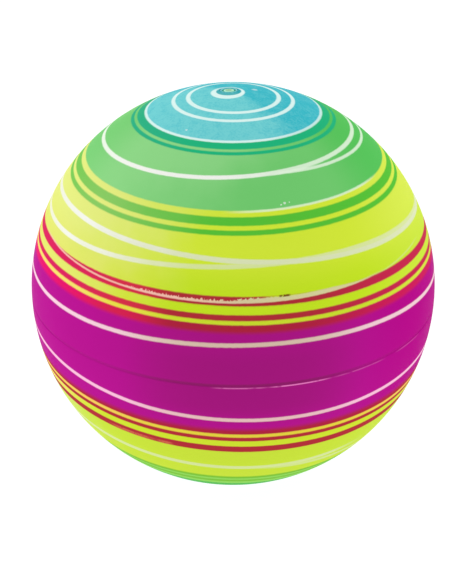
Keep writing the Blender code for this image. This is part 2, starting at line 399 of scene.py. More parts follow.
class ValveSizes(PropertyGroup):
    """Sizes of the valve seat and its plug, which follow the solids."""

    fit: length("Fit", "Gap between pieces that touch", 0.0003)
    lip_wall: length("Lip wall", "Width of the lip round the pocket", 0.0008)
    lip_radius: length("Lip radius", "Outside of the lip", 0.0047)
    lip_thickness: length("Lip thickness", "Height of the lip and the pocket's floor", 0.0021)
    pocket_depth: length("Pocket depth", "Depth of the pocket for the plug's head", 0.0012)
    bore_radius: length("Bore radius", "Radius of the hole for the pump", 0.0019)
    lead_in: length("Lead-in", "Chamfer at the mouth of the bore", 0.0004)
    neck_radius: length("Neck radius", "Radius of the neck that the skin grips", 0.0035)
    pad_grip: length("Pad grip", "Thickness of the skin between lip and flange", 0.0016)
    pad_margin: length("Pad margin", "Flat pad beyond the flange", 0.0050)
    pad_blend: length("Pad blend", "Slope from the pad to the wall", 0.0070)
    flange_radius: length("Flange radius", "Radius of the flange under the skin", 0.0080)
    flange_thickness: length("Flange thickness", "Thickness of the flange", 0.0012)
    barrel_end_wall: length("Barrel wall", "Wall at the barrel's inner end", 0.0010)
    head_radius: length("Head radius", "Radius of the plug's head", 0.00285)
    head_thickness: length("Head thickness", "Thickness of the plug's head", 0.0009)
    dish_radius: length("Dish radius", "Radius of the dish in the plug's head", 0.00205)
    dish_depth: length("Dish depth", "Depth of the dish in the plug's head", 0.0003)
    stem_radius: length("Stem radius", "Radius of the plug's stem", 0.0013)
    ring_height: length("Ring height", "How far a sealing ring stands out", 0.0003)
    ring_width: length("Ring width", "Width of a sealing ring", 0.0012)
    ring_start: length("First ring", "Middle of the first ring below the lip", 0.0024)
    ring_pitch: length("Ring pitch", "Distance between sealing rings", 0.0030)
    taper_start: length("Taper start", "Where the plug's tip begins, below the lip", 0.0099)
    tip_radius: length("Tip radius", "Radius of the plug's end", 0.0008)
    edge: length("Edge", "Rounding of moulded edges", 0.0003)


class PaintColours(PropertyGroup):
    """Colours of the paints, where they lie thick and where they lie thin, and of the plastics."""

    vinyl: colour("Bare vinyl", "White vinyl with no paint", 253, 254, 250)
    cap_line: colour("Cap line", "Bare lines in the cap", 228, 255, 250)
    lime_line: colour("Lime line", "Bare lines in the yellow bands", 234, 234, 230)
    lime_line_thin: colour("Thin lime line", "These lines where the paint is thin", 251, 252, 245)
    green_line: colour("Green line", "Bare lines in the green bands", 236, 255, 230)
    green_line_thin: colour("Thin green line", "These lines where the paint is thin", 254, 255, 248)
    waist_line: colour("Waist line", "Upper bare line in the waist band", 238, 232, 190)
    waist_line_thin: colour("Thin waist line", "This line where the paint is thin", 254, 214, 230)
    foot_line: colour("Foot line", "Lower bare line in the waist band", 242, 208, 200)
    foot_line_thin: colour("Thin foot line", "This line where the paint is thin", 254, 196, 224)
    crumb: colour("Crumb", "Dried crumbs of red paint", 112, 48, 26)
    torn: colour("Torn line", "Thin paint left in the torn line", 223, 215, 165)
    torn_left: colour("Torn line at the left", "Thin paint left in the torn line's left end", 254, 202, 184)
    # The darker magenta lies at the front as painted shade; the thin magenta lies round the sides
    magenta: colour("Magenta", "Waist band", 168, 25, 128)
    magenta_thin: colour("Thin magenta", "Waist band, thin paint", 189, 20, 150)
    # Painted shade at the far right limb: a deeper magenta
    magenta_limb_shade: colour("Far magenta", "Waist band at the far right", 185, 4, 139)
    red: colour("Red", "Thin bands beside the waist", 180, 48, 58)
    red_warm: colour("Warm red", "Thin bands beside the waist, left of the front", 220, 50, 75)
    red_thin: colour("Thin red", "Thin bands beside the waist, thin paint", 224, 36, 97)
    rubbed: colour("Rubbed red", "Lowest red band where it is rubbed thin", 218, 112, 82)
    crimson: colour("Crimson", "Soft edges of the waist band", 178, 38, 64)
    crimson_warm: colour("Warm crimson", "Soft edges of the waist band, left of the front", 219, 36, 82)
    crimson_thin: colour("Thin crimson", "Soft edges of the waist band, thin paint", 237, 21, 113)
    warm_yellow: colour("Warm yellow", "Stripes with some red under them", 208, 230, 50)
    warm_yellow_warm: colour("Warmest yellow", "These stripes left of the front", 234, 228, 58)
    warm_yellow_thin: colour("Thin warm yellow", "These stripes, thin paint", 246, 228, 112)
    amber: colour("Amber", "Lowest thin stripe, at the front", 230, 214, 66)
    amber_thin: colour("Thin amber", "Lowest thin stripe, at the sides", 246, 206, 96)
    yellow: colour("Yellow", "Thin stripes between the reds", 201, 235, 38)
    yellow_warm: colour("Golden yellow", "Thin stripes between the reds, left of the front", 212, 235, 42)
    yellow_thin: colour("Thin yellow", "Thin stripes between the reds, thin paint", 231, 236, 114)
    lime: colour("Lime", "Wide yellow bands", 219, 242, 61)
    lime_thin: colour("Thin lime", "Wide yellow bands, thin paint", 233, 242, 132)
    low_lime: colour("Low lime", "Yellow band under the waist", 202, 228, 61)
    low_lime_thin: colour("Thin low lime", "Yellow band under the waist, thin paint", 213, 232, 114)
    leaf_green: colour("Leaf green", "Thin stripes at the shoulder", 91, 201, 60)
    leaf_green_thin: colour("Thin leaf green", "Thin stripes at the shoulder, thin paint", 140, 208, 102)
    green: colour("Green", "Wide green bands", 90, 202, 94)
    green_thin: colour("Thin green", "Wide green bands, thin paint", 147, 222, 140)
    low_leaf: colour("Low leaf green", "Thin stripes at the foot", 122, 194, 54)
    low_leaf_thin: colour("Thin low leaf green", "Thin stripes at the foot, thin paint", 132, 200, 72)
    pale_green: colour("Pale green", "Stripes beside the foot's green band", 148, 220, 96)
    pale_green_thin: colour("Thin pale green", "These stripes, thin paint", 156, 216, 100)
    low_green: colour("Low green", "Wide green band under the waist", 86, 188, 84)
    low_green_thin: colour("Thin low green", "Wide green band under the waist, thin paint", 120, 198, 100)
    sea_green: colour("Sea green", "Thin stripes at the cap's edge", 36, 188, 129)
    sea_green_thin: colour("Thin sea green", "Thin stripes at the cap's edge, thin paint", 47, 184, 136)
    turquoise: colour("Turquoise", "Cap round the valve", 62, 193, 207)
    turquoise_thin: colour("Thin turquoise", "Cap round the valve, thin paint", 121, 218, 221)
    # Painted shade round the valve: a darker turquoise
    turquoise_valve_shade: colour("Deep turquoise", "Paint that ran together round the valve", 16, 150, 160)
    seam_rub: colour("Rubbed seam", "Paint rubbed pale at the seam's lower edge", 238, 126, 198)
    # Painted shade: the groove's shadow, laid on as a darker colour
    groove_shade: colour("Groove dirt", "Dirt in the parting groove", 104, 40, 64)
    # Painted light: the pocket's paint is lighter to offset the shade in the pocket
    pocket: colour("Pocket", "Paint that ran into the valve's pocket", 84, 204, 168)
    plug: colour("Plug", "Middle of the plug's head", 132, 200, 146)
    # The rim is lighter partly as a painted highlight
    plug_rim_highlight: colour("Plug rim", "Rim of the plug's head", 176, 244, 212)


class StudioSettings(PropertyGroup):
    """Camera and light."""

    distance: length("Distance", "From the ball's centre to the camera", 0.805)
    elevation: angle("Elevation", "Height of the camera above the horizon", 24.0)
    roll: angle("Roll", "Turn of the camera about its own axis", 1.25)
    lens: amount("Lens", "Focal length in millimetres", 86.1, "CAMERA")
    aim_left: length("Aim left", "How far left of the ball's centre the camera aims", 0.00406)
    aim_down: length("Aim down", "How far below the ball's centre the camera aims", 0.00488)
    sky: amount("Sky", "Brightness of the white tent", 1.0)
    camera_side: amount("Camera side", "Share of that light at the camera", 0.5)
    floor_glow: amount("Floor glow", "Light from below the floor", 0.95)
    left_lamp: amount("Left lamp", "Power of the left lamp in watts", 2.15, "POWER")
    right_lamp: amount("Right lamp", "Power of the right lamp in watts", 1.5, "POWER")


def smooth(value, low, high):
    """0 below low, 1 above high and a soft step between."""
    share = min(max((value - low) / (high - low), 0.0), 1.0)
    return share * share * (3 - 2 * share)


def along(longitude):
    """The level direction of a longitude in degrees."""
    turn = math.radians(longitude)
    return Vector((math.sin(turn), -math.cos(turn), 0.0))


def leaning_axis(lean):
    """The axis of a circle that leans as said."""
    tilt = math.radians(lean.tilt)
    return UP * math.cos(tilt) - along(lean.toward) * math.sin(tilt)


def place_on_ball(latitude, longitude):
    """The direction of a spot on the ball."""
    height = math.radians(latitude)
    return along(longitude) * math.cos(height) + UP * math.sin(height)


class Outline:
    """An outline in the XZ plane, grown from one vertex and then turned round +Z."""

    def __init__(self, radius, height):
        self.bm = bmesh.new()
        self.start = self.bm.verts.new((radius, 0.0, height))
        self.end = self.start

    def line(self, radius, height):
        """Grow it straight to a point."""
        self.end = bmesh.ops.extrude_vert_indiv(self.bm, verts=[self.end])["verts"][0]
        self.end.co = (radius, 0.0, height)

    def arc(self, radius, height, degrees, rows=ROUND_ROWS):
        """Grow it round a centre, clockwise for a positive angle."""
        swept = bmesh.ops.spin(
            self.bm,
            geom=[self.end],
            cent=(radius, 0.0, height),
            axis=(0.0, 1.0, 0.0),
            angle=math.radians(degrees),
            steps=rows,
            use_duplicate=False,
        )
        self.end = next(item for item in swept["geom_last"] if isinstance(item, bmesh.types.BMVert))

    def close(self):
        """Join its end to its start."""
        self.bm.edges.new((self.end, self.start))

    def turned(self, steps):
        """Spin it round +Z, close its seam and poles, and point its faces outwards."""
        bm = self.bm
        bmesh.ops.spin(
            bm,
            geom=bm.verts[:] + bm.edges[:],
            cent=(0.0, 0.0, 0.0),
            axis=(0.0, 0.0, 1.0),
            angle=math.tau,
            steps=steps,
            use_merge=True,
            use_duplicate=False,
        )
        bmesh.ops.remove_doubles(bm, verts=bm.verts, dist=MERGE_DISTANCE)
        bmesh.ops.recalc_face_normals(bm, faces=bm.faces)
        return bm


def finish_piece(bm, name, material, body, node):
    """Turn the mesh into a piece that stands for a solid and rides on its body."""
    mesh = bpy.data.meshes.new(name)
    bm.to_mesh(mesh)
    bm.free()
    mesh.shade_smooth()
    mesh.set_sharp_from_angle(angle=SHARP_EDGE)
    mesh.materials.append(material)
    piece = bpy.data.objects.new(name, mesh)
    ball_collection().objects.link(piece)
    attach(piece, body)
    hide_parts(node)


def ball_collection():
    """The collection that holds the pieces."""
    if COLLECTION not in bpy.data.collections:
        made = bpy.data.collections.new(COLLECTION)
        bpy.context.scene.collection.children.link(made)
    return bpy.data.collections[COLLECTION]


def skin_mesh(skin, valve):
    """The hollow skin with its parting groove, and the stepped hole and pad that hold the valve."""
    lip_hole = valve.lip_radius + valve.fit
    neck_hole = valve.neck_radius + valve.fit
    step_floor = LIP_HEIGHT - valve.lip_thickness - valve.fit
    pad_underside = step_floor - valve.pad_grip
    pad_radius = valve.flange_radius + valve.pad_margin
    inner = skin.radius - skin.wall
    half_groove = math.degrees(skin.groove_width / 2 / skin.radius)
    hole = math.degrees(math.asin((lip_hole + skin.hole_edge) / skin.radius))
    blend = math.degrees(math.asin((pad_radius + valve.pad_blend) / inner))

    shape = Outline(0.0, -inner)
    shape.arc(0.0, 0.0, blend - 180, INNER_ROWS)
    slope_start = shape.end.co.copy()
    for row in range(1, ROUND_ROWS + 1):
        share = row / ROUND_ROWS
        rise = smooth(share, 0.0, 1.0)
        radius = slope_start.x + (pad_radius - slope_start.x) * share
        shape.line(radius, slope_start.z + (pad_underside - slope_start.z) * rise)
    shape.line(neck_hole, pad_underside)
    shape.line(neck_hole, step_floor)
    shape.line(lip_hole, step_floor)
    top = math.sqrt(skin.radius**2 - (lip_hole + skin.hole_edge) ** 2)
    shape.line(lip_hole, top - skin.hole_edge)
    shape.line(lip_hole + skin.hole_edge, top)
    shape.arc(0.0, 0.0, 90 - half_groove - hole, OUTER_ROWS)
    shape.arc(0.0, 0.0, 2 * half_groove, GROOVE_ROWS)
    shape.arc(0.0, 0.0, 90 - half_groove, OUTER_ROWS)

    for vert in shape.bm.verts:
        across = abs(vert.co.z) / (skin.groove_width / 2)
        if across < 1 and vert.co.length > inner + skin.wall / 2:
            depth = skin.groove_depth * (1 + math.cos(math.pi * across)) / 2
            vert.co *= (skin.radius - depth) / skin.radius
    return shape.turned(SKIN_STEPS)


def seam_axis(skin):
    """The axis that the seam is square to."""
    return Vector((math.tan(skin.seam_right), -math.tan(skin.seam_front), 1.0)).normalized()


def lean_seam(bm, skin):
    """Lean the lower skin and its seam, and leave the skin round the valve upright."""
    whole = UP.rotation_difference(seam_axis(skin))
    for vert in bm.verts:
        latitude = math.degrees(math.asin(vert.co.normalized().z))
        share = 1 - smooth(latitude, LEAN_WHOLE, LEAN_GONE)
        vert.co = Quaternion().slerp(whole, share) @ vert.co


def paint_map(bm, skin):
    """Lay the outside on a map of longitude and latitude, and the inside on a strip below it."""
    layer = bm.loops.layers.uv.new("OFBake")
    outside = skin.radius - skin.wall / 2
    for face in bm.faces:
        middle = face.calc_center_median()
        turn = math.atan2(middle.x, -middle.y)
        out = middle.length > outside
        for loop in face.loops:
            spot = loop.vert.co
            around = math.atan2(spot.x, -spot.y) if math.hypot(spot.x, spot.y) > MERGE_DISTANCE else turn
            around = turn + (around - turn + math.pi) % math.tau - math.pi
            height = math.asin(spot.normalized().z) / math.pi + 0.5
            if out:
                height = INSIDE_STRIP + (1 - INSIDE_STRIP) * height
            else:
                height *= INSIDE_STRIP * INSIDE_FILL
            loop[layer].uv = (around / math.tau + 0.5, height)


def seat_mesh(valve):
    """The grommet: a lip round the pocket, a neck in the skin, a flange under it and a tapered barrel."""
    top = LIP_HEIGHT
    edge = valve.edge
    pocket = valve.lip_radius - valve.lip_wall
    floor = top - valve.pocket_depth
    underside = top - valve.lip_thickness
    flange_top = underside - 2 * valve.fit - valve.pad_grip
    flange_under = flange_top - valve.flange_thickness
    bottom = SEAT_LOW.z
    barrel_end = valve.bore_radius + valve.barrel_end_wall

    shape = Outline(valve.bore_radius, bottom + edge)
    shape.line(valve.bore_radius, floor - valve.lead_in)
    shape.line(valve.bore_radius + valve.lead_in, floor)
    shape.line(pocket - edge, floor)
    shape.arc(pocket - edge, floor + edge, -90)
    shape.line(pocket, top - edge)
    shape.arc(pocket + edge, top - edge, 90)
    shape.line(valve.lip_radius - edge, top)
    shape.arc(valve.lip_radius - edge, top - edge, 90)
    shape.line(valve.lip_radius, underside + edge)
    shape.arc(valve.lip_radius - edge, underside + edge, 90)
    shape.line(valve.neck_radius, underside)
    shape.line(valve.neck_radius, flange_top)
    shape.line(valve.flange_radius - edge, flange_top)
    shape.arc(valve.flange_radius - edge, flange_top - edge, 90)
    shape.line(valve.flange_radius, flange_under + edge)
    shape.arc(valve.flange_radius - edge, flange_under + edge, 90)
    fillet = 2 * edge
    shape.line(valve.neck_radius + fillet, flange_under)
    shape.arc(valve.neck_radius + fillet, flange_under - fillet, -90)
    shape.line(barrel_end, bottom + edge)
    shape.arc(barrel_end - edge, bottom + edge, 90)
    shape.line(valve.bore_radius + edge, bottom)
    shape.close()
    return shape.turned(VALVE_STEPS)


def plug_mesh(valve):
    """The stopper: a dished head with a round rim, a stem with round sealing rings and a tapered tip."""
    top = PLUG_HIGH.z
    bottom = PLUG_LOW.z
    edge = valve.edge
    underside = top - valve.head_thickness
    dish_ball = (valve.dish_radius**2 + valve.dish_depth**2) / (2 * valve.dish_depth)
    dish_angle = math.degrees(math.asin(valve.dish_radius / dish_ball))
    half_ring = valve.ring_width / 2
    ring_ball = (half_ring**2 + valve.ring_height**2) / (2 * valve.ring_height)
    ring_middle = valve.stem_radius + valve.ring_height - ring_ball
    ring_angle = 2 * math.degrees(math.asin(half_ring / ring_ball))

    shape = Outline(0.0, top - valve.dish_depth)
    shape.arc(0.0, top - valve.dish_depth + dish_ball, -dish_angle, 2 * ROUND_ROWS)
    shape.line(valve.head_radius - edge, top)
    shape.arc(valve.head_radius - edge, top - edge, 90)
    shape.line(valve.head_radius, underside + edge)
    shape.arc(valve.head_radius - edge, underside + edge, 90)
    shape.line(valve.stem_radius + edge, underside)
    shape.arc(valve.stem_radius + edge, underside - edge, -90)
    ring = top - valve.ring_start
    while ring - half_ring > top - valve.taper_start:
        shape.line(valve.stem_radius, ring + half_ring)
        shape.arc(ring_middle, ring, ring_angle, 2 * ROUND_ROWS)
        ring -= valve.ring_pitch
    shape.line(valve.stem_radius, top - valve.taper_start)
    shape.line(valve.tip_radius, bottom + edge)
    shape.arc(valve.tip_radius - edge, bottom + edge, 90)
    shape.line(0.0, bottom)
    return shape.turned(VALVE_STEPS)


# Materials: each is built by wiring nodes with a small helper


class Wiring:
    """Adds nodes to a shader tree. What feeds a node is a number, a colour or another node's output."""

    def __init__(self, tree):
        self.tree = tree

    def add(self, kind, **settings):
        """Add a node with its settings."""
        node = self.tree.nodes.new(kind)
        for name, value in settings.items():
            setattr(node, name, value)
        return node

    def feed(self, socket, value):
        """Link an output to a socket, or set the socket's own value."""
        if isinstance(value, bpy.types.NodeSocket):
            self.tree.links.new(value, socket)
        else:
            socket.default_value = value

    def place(self):
        """The place on the piece, in metres from the ball's centre."""
        return self.add("ShaderNodeTexCoord").outputs["Object"]

    def math(self, operation, first, second=0.0):
        """One step of arithmetic."""
        node = self.add("ShaderNodeMath", operation=operation)
        self.feed(node.inputs[0], first)
        self.feed(node.inputs[1], second)
        return node.outputs["Value"]

    def plus(self, first, second):
        """The sum of two values."""
        return self.math("ADD", first, second)

    def minus(self, first, second):
        """A value less another."""
        return self.math("SUBTRACT", first, second)

    def flip(self, mask):
        """A mask turned round: 1 where it was 0."""
        return self.minus(1.0, mask)

    def apart(self, first, second):
        """How far a value is from another, either way."""
        return self.math("ABSOLUTE", self.minus(first, second))

    def times(self, *values):
        """The product of several values."""
        product = values[0]
        for value in values[1:]:
            product = self.math("MULTIPLY", product, value)
        return product

    def vector(self, operation, first, second=(0.0, 0.0, 0.0), out="Vector"):
        """One step of arithmetic on vectors."""
        node = self.add("ShaderNodeVectorMath", operation=operation)
        self.feed(node.inputs[0], first)
        self.feed(node.inputs[1], second)
        return node.outputs[out]

    def dot(self, place, axis):
        """How far a place lies along an axis."""
        return self.vector("DOT_PRODUCT", place, axis, out="Value")

    def reach(self, place):
        """How far a place lies from the origin."""
        return self.vector("LENGTH", place, out="Value")

    def latitude(self, place, axis):
        """Degrees above the plane across an axis, for a place on the unit ball."""
        return self.times(self.math("ARCSINE", self.dot(place, axis)), math.degrees(1))

    def step(self, value, start, whole):
        """A soft step from 0 at the start to 1 where it is whole, which may be the lower one."""
        node = self.add("ShaderNodeMapRange", interpolation_type="SMOOTHSTEP")
        falls = start > whole
        self.feed(node.inputs["Value"], value)
        self.feed(node.inputs["From Min"], whole if falls else start)
        self.feed(node.inputs["From Max"], start if falls else whole)
        self.feed(node.inputs["To Min"], 1.0 if falls else 0.0)
        self.feed(node.inputs["To Max"], 0.0 if falls else 1.0)
        return node.outputs["Result"]

    def fade(self, value, fade):
        """A soft step from 0 to a share."""
        mask = self.step(value, fade.start, fade.whole)
        return mask if fade.share == 1.0 else self.times(mask, fade.share)

    def mix(self, share, under, over):
        """Lay one colour over another."""
        node = self.add("ShaderNodeMix", data_type="RGBA")
        self.feed(node.inputs["Factor"], share)
        for socket, value in ((node.inputs[MIX_UNDER], under), (node.inputs[MIX_OVER], over)):
            self.feed(socket, value if isinstance(value, bpy.types.NodeSocket) else (*value, 1.0))
        return node.outputs[MIX_RESULT]

    def noise(self, place, noise, stretch=None):
        """Cloudy noise about 0.5, with its place stretched where that is asked."""
        if stretch:
            mapping = self.add("ShaderNodeMapping")
            self.feed(mapping.inputs["Vector"], place)
            self.feed(mapping.inputs["Scale"], stretch)
            place = mapping.outputs["Vector"]
        node = self.add("ShaderNodeTexNoise")
        self.feed(node.inputs["Vector"], place)
        self.feed(node.inputs["Scale"], noise.scale)
        self.feed(node.inputs["Detail"], noise.detail)
        return node.outputs["Fac"]

    def spread(self, noise, amount):
        """Noise turned into an offset of up to about that amount either way."""
        return self.times(self.minus(noise, 0.5), 2 * amount)

    def wander(self, place, noise):
        """An offset by a noise of its own."""
        return self.spread(self.noise(place, noise), noise.amount)


def new_material(name):
    """A material, its wiring and its shader."""
    material = bpy.data.materials.new(name)
    material.use_nodes = True
    return material, Wiring(material.node_tree), material.node_tree.nodes["Principled BSDF"]


def dress(wiring, shader, place, finish, shade, shine):
    """Give a moulding its colour, a roughness that varies, and a fine grain."""
    wiring.feed(shader.inputs["Base Color"], shade)
    wiring.feed(shader.inputs["Specular IOR Level"], finish.specular)
    wiring.feed(shader.inputs["Roughness"], wiring.plus(finish.roughness, shine))
    bump = wiring.add("ShaderNodeBump")
    wiring.feed(bump.inputs["Strength"], GRAIN_STRENGTH)
    wiring.feed(bump.inputs["Distance"], finish.height)
    wiring.feed(bump.inputs["Height"], wiring.noise(place, finish.grain))
    wiring.feed(shader.inputs["Normal"], bump.outputs["Normal"])


class Spray:
    """What all layers of paint share: the place on the ball, wandering edges, how thin the paint is and
    where painted shade falls.
    """

    def __init__(self, wiring, skin, paint):
        self.wiring = wiring
        self.paint = paint
        self.place = wiring.place()
        turned = wiring.add("ShaderNodeMapping")
        turn = (-skin.paint_front, -skin.paint_right, skin.paint_turn)
        wiring.feed(turned.inputs["Rotation"], turn)
        wiring.feed(turned.inputs["Vector"], self.place)
        self.spot = wiring.vector("NORMALIZE", turned.outputs["Vector"])
        self.heading = wiring.vector("NORMALIZE", wiring.vector("MULTIPLY", self.spot, LEVEL))
        drift = wiring.wander(self.place, EDGE_DRIFT)
        self.wander = wiring.plus(drift, wiring.wander(self.place, EDGE_FUZZ))
        self.latitudes = {}
        self.grain = wiring.noise(self.place, PAINT_GRAIN)
        self.clouds = wiring.wander(self.place, PAINT_CLOUDS)
        self.height = wiring.latitude(self.spot, UP)
        self.right = wiring.dot(self.heading, along(90))
        self.high_side = self.left_side(HIGH_SIDE)
        self.high_thin = wiring.fade(self.high_side, HIGH_THIN)
        self.low_side = self.left_side(LOW_SIDE)
        self.low_thin = wiring.fade(self.low_side, LOW_THIN)
        self.off_front_shade = wiring.flip(self.span(FRONT_SHADE))
        self.most_thin = wiring.plus(WAIST_LEAST, wiring.times(self.low_thin, 1 - WAIST_LEAST))
        # The waist's lines share the painted shade at the front
        self.waist_line_thin = wiring.times(self.off_front_shade, self.most_thin)
        self.waist_thin_and_lit = self.thin_and_lit_waist()
        self.above_foot = wiring.fade(self.height, ABOVE_FOOT)
        self.warm = wiring.times(self.span(WARM), self.above_foot)
        # Painted shade at the far left limb
        self.off_limb_shade = wiring.fade(self.right, LIMB_SHADE)
        self.low_line_thin_and_lit = wiring.times(self.low_thin, self.off_limb_shade)
        self.high_line_thin_and_lit = wiring.times(self.high_thin, self.off_limb_shade)
        self.coats = {}

    def latitude(self, lean):
        """Degrees above a leaning circle through the ball's middle, with the wander of a sprayed edge."""
        if lean not in self.latitudes:
            level = self.wiring.latitude(self.spot, leaning_axis(lean))
            self.latitudes[lean] = self.wiring.plus(level, self.wander)
        return self.latitudes[lean]

    def span(self, span):
        """1 within a stretch of longitude and 0 outside it."""
        if span is ALL_ROUND:
            return 1.0
        toward = self.wiring.dot(self.heading, along(span.middle))
        outer = math.cos(math.radians(span.reach + span.soft))
        inner = math.cos(math.radians(span.reach - span.soft))
        return self.wiring.step(toward, outer, inner)

    def left_side(self, side):
        """1 where a paint's left side is and -1 opposite it."""
        wiring = self.wiring
        flat = wiring.add("ShaderNodeSeparateXYZ")
        wiring.feed(flat.inputs[0], self.spot)
        longitude = wiring.math("ARCTAN2", flat.outputs["X"], wiring.times(flat.outputs["Y"], -1.0))
        height = wiring.math("ARCSINE", flat.outputs["Z"])
        border = wiring.times(wiring.minus(height, math.radians(side.pivot)), side.skew)
        border = wiring.math("MINIMUM", border, math.radians(side.most))
        past = wiring.minus(longitude, border)
        return wiring.minus(self.clouds, wiring.math("SINE", past))

    def thin_and_lit_waist(self):
        """How thin the waist's paint lies: painted shade makes it thick and darker at the front under the
        seam, and it is thinnest at the left.
        """
        wiring = self.wiring
        upper = wiring.fade(self.height, WAIST_TOP)
        lower = wiring.fade(self.height, WAIST_FOOT)
        thick = wiring.times(self.span(FRONT_SHADE), lower, wiring.flip(upper))
        return wiring.times(wiring.flip(thick), self.most_thin)

    def thin_paint(self, name):
        """How thin a paint lies: most at the left, and for some at the right too. Painted shade darkens the
        waist's front and the far left.
        """
        wiring = self.wiring
        if name == "magenta":
            return self.waist_thin_and_lit
        if name in REDS:
            # The reds are thin at the left; at the right they are lighter as painted light
            sides = wiring.plus(wiring.fade(self.low_side, RED_LEFT), wiring.fade(self.right, RED_RIGHT_LIGHT))
            return wiring.times(sides, self.above_foot)
        if name == "amber":
            return wiring.flip(self.span(AMBER_FRONT))
        if name in YELLOWS:
            return wiring.plus(self.low_thin, wiring.fade(self.right, YELLOW_RIGHT))
        if name in LOW_GREENS:
            return self.low_thin
        if name == "leaf_green":
            return self.low_line_thin_and_lit
        # The green is darker at the far left limb as painted shade, and paler except towards the right limb
        if name == "green":
            left = wiring.fade(self.high_side, GREEN_LEFT)
            return wiring.times(wiring.plus(left, wiring.fade(self.right, GREEN_MIDDLE)), self.off_limb_shade)
        if name == "sea_green":
            return wiring.fade(self.low_side, SEA_GREEN_LEFT)
        blotches = wiring.wander(self.place, CAP_BLOTCHES)
        mottle = wiring.plus(wiring.spread(self.grain, PAINT_GRAIN.amount), blotches)
        return wiring.plus(wiring.times(self.high_thin, CAP_LEFT), wiring.plus(mottle, CAP_EVEN))

    def coat(self, name):
        """A paint's colour, between thick and thin, and left of the front its warm colour if it has one."""
        if name not in self.coats:
            shade = getattr(self.paint, name)
            if hasattr(self.paint, name + "_warm"):
                shade = self.wiring.mix(self.warm, shade, getattr(self.paint, name + "_warm"))
            thin = getattr(self.paint, name + "_thin")
            self.coats[name] = self.wiring.mix(self.thin_paint(name), shade, thin)
        return self.coats[name]

    def above(self, line):
        """Degrees above a line's middle."""
        wiring = self.wiring
        apart = wiring.minus(self.latitude(line.lean), line.latitude)
        if line.bend is FLAT:
            return apart
        toward = wiring.dot(self.heading, along(line.bend.toward))
        wave = wiring.minus(wiring.times(wiring.times(toward, toward), 2.0), 1.0)
        return wiring.minus(apart, wiring.times(wave, line.bend.rise))

    def thin_at(self, latitude):
        """How thin the paint lies beside a line, with painted shade at the waist's front and at the far
        left. Far below the waist it is even.
        """
        if latitude < -WAIST_REACH:
            return EVEN
        if latitude < WAIST_REACH:
            return self.waist_line_thin if latitude > 0 else self.off_front_shade
        return self.high_line_thin_and_lit if latitude > SHOULDER else self.low_line_thin_and_lit

    def line(self, line):
        """1 on a line and 0 beside it."""
        half = line.width / 2
        apart = self.wiring.math("ABSOLUTE", self.above(line))
        mask = self.wiring.step(apart, half + LINE_BLUR, half - LINE_BLUR)
        return self.wiring.times(mask, self.span(line.span))

    def disc(self, shape):
        """1 inside a round about the valve and 0 outside it."""
        wiring = self.wiring
        apart = wiring.vector("SUBTRACT", self.place, (shape.right, -shape.front, 0.0))
        flat = wiring.vector("MULTIPLY", apart, (1 / shape.across, 1 / shape.along, 0.0))
        inside = wiring.step(wiring.reach(flat), 1 + CRESCENT_BLUR, 1 - CRESCENT_BLUR)
        return wiring.times(inside, wiring.fade(wiring.dot(self.place, UP), UPPER_HALF))


def spray_bands(spray):
    """The bands of paint, from the waist to both poles, with the magenta deeper at the far right limb as
    painted shade.
    """
    wiring = spray.wiring
    # The magenta turns deeper at the far right limb, as painted shade
    shade = wiring.mix(wiring.fade(spray.right, FAR_RIGHT_SHADE), spray.coat("magenta"), spray.paint.magenta_limb_shade)
    for edge in UPPER_EDGES + LOWER_EDGES:
        blur = math.copysign(edge.blur, edge.latitude)
        mask = wiring.step(spray.latitude(edge.lean), edge.latitude - blur, edge.latitude + blur)
        shade = wiring.mix(mask, shade, spray.coat(edge.paint))
    return shade


def leave_lines(spray, shade):
    """The lines of nearly bare vinyl, barer in thin paint and darker in painted shade. Lines of one tint
    join where they cross.
    """
    wiring = spray.wiring
    covers = {}
    for line in BARE_LINES:
        thin = spray.thin_at(line.latitude)
        bare = line.bare
        if thin is not EVEN:
            bare = wiring.plus(bare, wiring.times(thin, (1 - bare) * THIN_BARER))
        cover = wiring.times(spray.line(line), bare)
        alike = (line.tint, thin)
        covers[alike] = wiring.math("MAXIMUM", covers[alike], cover) if alike in covers else cover
    for (name, thin), cover in covers.items():
        tint = getattr(spray.paint, name)
        if thin is not EVEN and hasattr(spray.paint, name + "_thin"):
            tint = wiring.mix(thin, tint, getattr(spray.paint, name + "_thin"))
        shade = wiring.mix(cover, shade, tint)
    return shade


def ring_valve(spray, shade):
    """The bare crescent round the valve, and painted shade inside it: a darker turquoise."""
    wiring = spray.wiring
    fainter = wiring.fade(wiring.dot(spray.place, along(0)), CRESCENT_BACK)
    bare = wiring.times(spray.disc(CRESCENT_OUTSIDE), wiring.flip(fainter))
    shade = wiring.mix(bare, shade, spray.paint.cap_line)
    valve_shade = wiring.mix(VALVE_SHADE_SHARE, spray.coat("turquoise"), spray.paint.turquoise_valve_shade)
    return wiring.mix(spray.disc(CRESCENT_INSIDE), shade, valve_shade)


